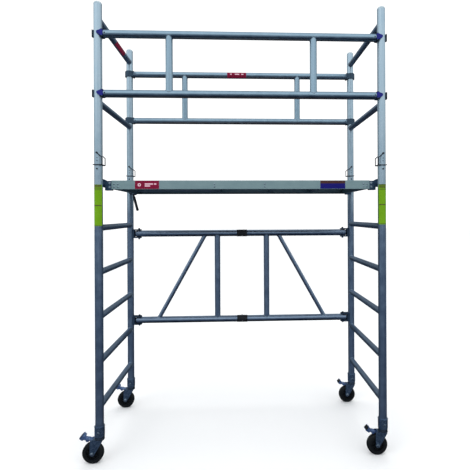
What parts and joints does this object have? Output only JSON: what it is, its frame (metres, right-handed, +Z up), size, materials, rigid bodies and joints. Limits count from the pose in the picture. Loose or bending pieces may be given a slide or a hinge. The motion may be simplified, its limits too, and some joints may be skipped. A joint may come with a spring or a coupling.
{
  "type": "mobile scaffold tower",
  "caption": "Folding rolling scaffold tower: ladder end frames, hooked platform with hatch, double guardrails, folding brace and braked castors.",
  "frame": {"origin": "on the ground at the middle of the whole outline", "axes": "+Z up, +X along the platform, +Y from the front to the folding brace at the back"},
  "size_m": [1.9546, 0.7785, 2.8831],
  "materials": {
    "upright_tube": "satin",
    "rung_tube": "satin",
    "guardrail_tube": "satin",
    "brace_tube": "satin",
    "spigot_tube": "satin",
    "beam_profile": "satin",
    "cast_aluminium": "matte",
    "claw_casting": "matte",
    "blue_plastic": "moulded",
    "black_nylon": "moulded",
    "hinge_casting": "painted black",
    "zinc_steel": "zinc plated",
    "dark_steel": "dark zinc plated",
    "castor_steel": "zinc plated",
    "pedal_steel": "blue zinc plated",
    "tyre_rubber": "moulded",
    "hub_nylon": "moulded",
    "plywood": "phenolic faced",
    "cap_plastic": "moulded"
  },
  "bodies": {
    "tower": {"left_uprights": "upright_tube", "right_uprights": "upright_tube", "left_rungs": "rung_tube", "right_rungs": "rung_tube", "upper_posts": "upright_tube", "upper_transoms": "rung_tube", "spigots": "spigot_tube", "spigot_rivets": "zinc_steel", "post_caps": "cap_plastic", "locking_pins": "dark_steel", "front_guardrail": "guardrail_tube", "rear_guardrail": "guardrail_tube", "front_claws": "claw_casting", "rear_claws": "claw_casting", "latch_pins": "zinc_steel", "side_beams": "beam_profile", "end_beams": "beam_profile", "cross_members": "beam_profile", "deck_board": "plywood", "hatch_hinges": "zinc_steel", "platform_hooks": "cast_aluminium", "platform_pins": "zinc_steel", "brace_brackets": "cast_aluminium", "brace_pins": "dark_steel", "castor_stems": "castor_steel"},
    "pin_bow_fl": {"pin_bow_fl": "dark_steel"},
    "pin_bow_fr": {"pin_bow_fr": "dark_steel"},
    "pin_bow_rl": {"pin_bow_rl": "dark_steel"},
    "pin_bow_rr": {"pin_bow_rr": "dark_steel"},
    "latch_fl_low": {"latch_fl_low": "blue_plastic"},
    "latch_fl_high": {"latch_fl_high": "blue_plastic"},
    "latch_fr_low": {"latch_fr_low": "blue_plastic"},
    "latch_fr_high": {"latch_fr_high": "blue_plastic"},
    "latch_rl_low": {"latch_rl_low": "blue_plastic"},
    "latch_rl_high": {"latch_rl_high": "blue_plastic"},
    "latch_rr_low": {"latch_rr_low": "blue_plastic"},
    "latch_rr_high": {"latch_rr_high": "blue_plastic"},
    "hatch": {"hatch": "plywood"},
    "wind_lock": {"wind_lock": "black_nylon"},
    "brace_left_half": {"left_brace": "brace_tube", "left_hinge_leaves": "hinge_casting", "fold_pins": "zinc_steel"},
    "brace_right_half": {"right_brace": "brace_tube", "right_hinge_leaves": "hinge_casting"},
    "fork_fl": {"fork_fl": "castor_steel"},
    "wheel_fl": {"tyre_fl": "tyre_rubber", "hub_fl": "hub_nylon"},
    "pedal_fl": {"pedal_fl": "pedal_steel"},
    "fork_fr": {"fork_fr": "castor_steel"},
    "wheel_fr": {"tyre_fr": "tyre_rubber", "hub_fr": "hub_nylon"},
    "pedal_fr": {"pedal_fr": "pedal_steel"},
    "fork_rl": {"fork_rl": "castor_steel"},
    "wheel_rl": {"tyre_rl": "tyre_rubber", "hub_rl": "hub_nylon"},
    "pedal_rl": {"pedal_rl": "pedal_steel"},
    "fork_rr": {"fork_rr": "castor_steel"},
    "wheel_rr": {"tyre_rr": "tyre_rubber", "hub_rr": "hub_nylon"},
    "pedal_rr": {"pedal_rr": "pedal_steel"}
  },
  "joints": [
    {"name": "pin_bow_fl_swing", "type": "hinge", "parent": "tower", "child": "pin_bow_fl", "pos_m": [-0.85935, -0.35405, 1.935], "axis": [0, -1, 0], "range_deg": [0, 100]},
    {"name": "pin_bow_fr_swing", "type": "hinge", "parent": "tower", "child": "pin_bow_fr", "pos_m": [0.94065, -0.35405, 1.935], "axis": [0, 1, 0], "range_deg": [0, 100]},
    {"name": "pin_bow_rl_swing", "type": "hinge", "parent": "tower", "child": "pin_bow_rl", "pos_m": [-0.85935, 0.34595, 1.935], "axis": [0, -1, 0], "range_deg": [0, 100]},
    {"name": "pin_bow_rr_swing", "type": "hinge", "parent": "tower", "child": "pin_bow_rr", "pos_m": [0.94065, 0.34595, 1.935], "axis": [0, 1, 0], "range_deg": [0, 100]},
    {"name": "latch_fl_low_turn", "type": "hinge", "parent": "tower", "child": "latch_fl_low", "pos_m": [-0.82885, -0.37705, 2.309], "axis": [0, 0, 1], "range_deg": [0, 55], "stiffness_Nm_per_rad": 0.2, "springref_deg": -20.05},
    {"name": "latch_fl_high_turn", "type": "hinge", "parent": "tower", "child": "latch_fl_high", "pos_m": [-0.82885, -0.37705, 2.683], "axis": [0, 0, 1], "range_deg": [0, 55], "stiffness_Nm_per_rad": 0.2, "springref_deg": -20.05},
    {"name": "latch_fr_low_turn", "type": "hinge", "parent": "tower", "child": "latch_fr_low", "pos_m": [0.91015, -0.37705, 2.309], "axis": [0, 0, -1], "range_deg": [0, 55], "stiffness_Nm_per_rad": 0.2, "springref_deg": -20.05},
    {"name": "latch_fr_high_turn", "type": "hinge", "parent": "tower", "child": "latch_fr_high", "pos_m": [0.91015, -0.37705, 2.683], "axis": [0, 0, -1], "range_deg": [0, 55], "stiffness_Nm_per_rad": 0.2, "springref_deg": -20.05},
    {"name": "latch_rl_low_turn", "type": "hinge", "parent": "tower", "child": "latch_rl_low", "pos_m": [-0.82885, 0.36895, 2.309], "axis": [0, 0, -1], "range_deg": [0, 55], "stiffness_Nm_per_rad": 0.2, "springref_deg": -20.05},
    {"name": "latch_rl_high_turn", "type": "hinge", "parent": "tower", "child": "latch_rl_high", "pos_m": [-0.82885, 0.36895, 2.683], "axis": [0, 0, -1], "range_deg": [0, 55], "stiffness_Nm_per_rad": 0.2, "springref_deg": -20.05},
    {"name": "latch_rr_low_turn", "type": "hinge", "parent": "tower", "child": "latch_rr_low", "pos_m": [0.91015, 0.36895, 2.309], "axis": [0, 0, 1], "range_deg": [0, 55], "stiffness_Nm_per_rad": 0.2, "springref_deg": -20.05},
    {"name": "latch_rr_high_turn", "type": "hinge", "parent": "tower", "child": "latch_rr_high", "pos_m": [0.91015, 0.36895, 2.683], "axis": [0, 0, 1], "range_deg": [0, 55], "stiffness_Nm_per_rad": 0.2, "springref_deg": -20.05},
    {"name": "hatch_open", "type": "hinge", "parent": "tower", "child": "hatch", "pos_m": [-0.45835, 0.22445, 1.7742], "axis": [-1, 0, 0], "range_deg": [0, 95]},
    {"name": "wind_lock_turn", "type": "hinge", "parent": "tower", "child": "wind_lock", "pos_m": [-0.81135, 0.25495, 1.716], "axis": [0, -1, 0], "range_deg": [0, 36]},
    {"name": "brace_fold", "type": "hinge", "parent": "tower", "child": "brace_left_half", "pos_m": [-0.78935, 0.34595, 1.049], "axis": [0, 0, 1], "range_deg": [-90, 0]},
    {"name": "brace_middle_fold", "type": "hinge", "parent": "brace_left_half", "child": "brace_right_half", "pos_m": [0.04065, 0.38195, 1.049], "axis": [0, 0, 1], "range_deg": [0, 180]},
    {"name": "castor_fl_swivel", "type": "hinge", "parent": "tower", "child": "fork_fl", "pos_m": [-0.85935, -0.35405, 0.146], "axis": [0, 0, 1], "continuous": true},
    {"name": "wheel_fl_roll", "type": "hinge", "parent": "fork_fl", "child": "wheel_fl", "pos_m": [-0.89935, -0.35405, 0.065], "axis": [0, 1, 0], "continuous": true},
    {"name": "pedal_fl_press", "type": "hinge", "parent": "fork_fl", "child": "pedal_fl", "pos_m": [-0.88535, -0.35405, 0.138], "axis": [0, -1, 0], "range_deg": [0, 12]},
    {"name": "castor_fr_swivel", "type": "hinge", "parent": "tower", "child": "fork_fr", "pos_m": [0.94065, -0.35405, 0.146], "axis": [0, 0, 1], "continuous": true},
    {"name": "wheel_fr_roll", "type": "hinge", "parent": "fork_fr", "child": "wheel_fr", "pos_m": [0.90065, -0.35405, 0.065], "axis": [0, 1, 0], "continuous": true},
    {"name": "pedal_fr_press", "type": "hinge", "parent": "fork_fr", "child": "pedal_fr", "pos_m": [0.91465, -0.35405, 0.138], "axis": [0, -1, 0], "range_deg": [0, 12]},
    {"name": "castor_rl_swivel", "type": "hinge", "parent": "tower", "child": "fork_rl", "pos_m": [-0.85935, 0.34595, 0.146], "axis": [0, 0, 1], "continuous": true},
    {"name": "wheel_rl_roll", "type": "hinge", "parent": "fork_rl", "child": "wheel_rl", "pos_m": [-0.89935, 0.34595, 0.065], "axis": [0, 1, 0], "continuous": true},
    {"name": "pedal_rl_press", "type": "hinge", "parent": "fork_rl", "child": "pedal_rl", "pos_m": [-0.88535, 0.34595, 0.138], "axis": [0, -1, 0], "range_deg": [0, 12]},
    {"name": "castor_rr_swivel", "type": "hinge", "parent": "tower", "child": "fork_rr", "pos_m": [0.94065, 0.34595, 0.146], "axis": [0, 0, 1], "continuous": true},
    {"name": "wheel_rr_roll", "type": "hinge", "parent": "fork_rr", "child": "wheel_rr", "pos_m": [0.90065, 0.34595, 0.065], "axis": [0, 1, 0], "continuous": true},
    {"name": "pedal_rr_press", "type": "hinge", "parent": "fork_rr", "child": "pedal_rr", "pos_m": [0.91465, 0.34595, 0.138], "axis": [0, -1, 0], "range_deg": [0, 12]}
  ],
  "couplings": [
    {"joint": "brace_middle_fold", "follows": "brace_fold", "ratio": -2}
  ]
}
